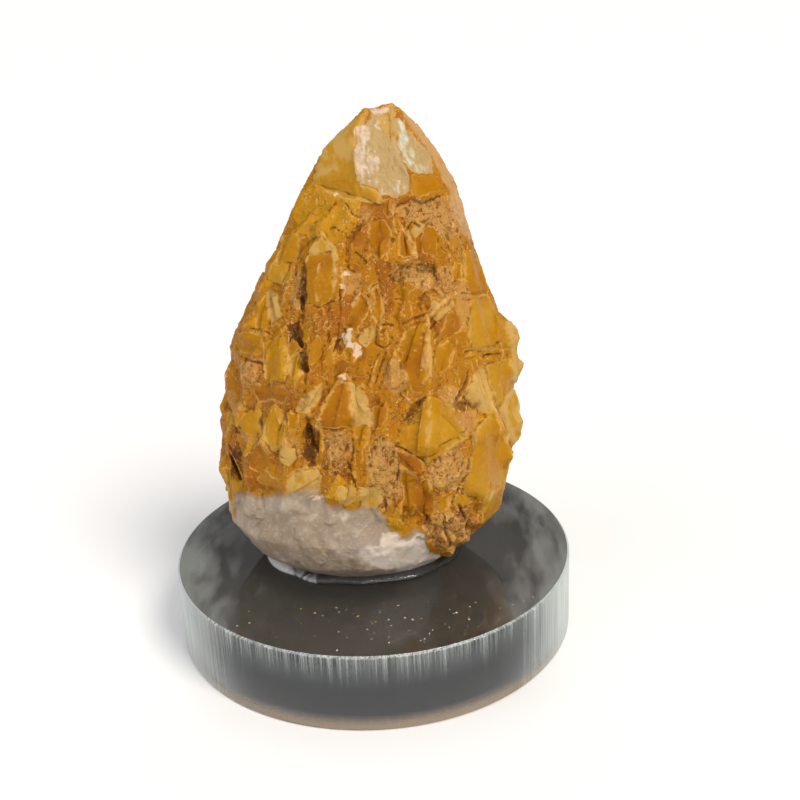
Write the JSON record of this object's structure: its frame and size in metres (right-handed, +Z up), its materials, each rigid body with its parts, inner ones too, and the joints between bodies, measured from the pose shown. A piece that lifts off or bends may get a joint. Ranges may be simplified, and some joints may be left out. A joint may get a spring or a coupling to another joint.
{
  "type": "phantom quartz crystal on a disc stand",
  "caption": "Stepped amber quartz crystal with a milky foot, glued upright to a clear round acrylic disc as a display specimen.",
  "frame": {"origin": "centre of the disc's underside, on the surface it stands on", "axes": "+Z up along the crystal, -Y out of the side that the picture shows, +X to the right in the picture"},
  "size_m": [0.05, 0.05, 0.0664],
  "materials": {
    "clear_acrylic": "clear cast sheet, polished faces, sawn and lightly polished rim",
    "amber_quartz": "glassy to satin crystal faces with a matte iron-stained crust",
    "clear_glue": "glossy clear to milky set adhesive"
  },
  "bodies": {
    "root": {"acrylic_base": "clear_acrylic", "quartz_crystal": "amber_quartz", "glue_bead": "clear_glue"}
  },
  "joints": []
}
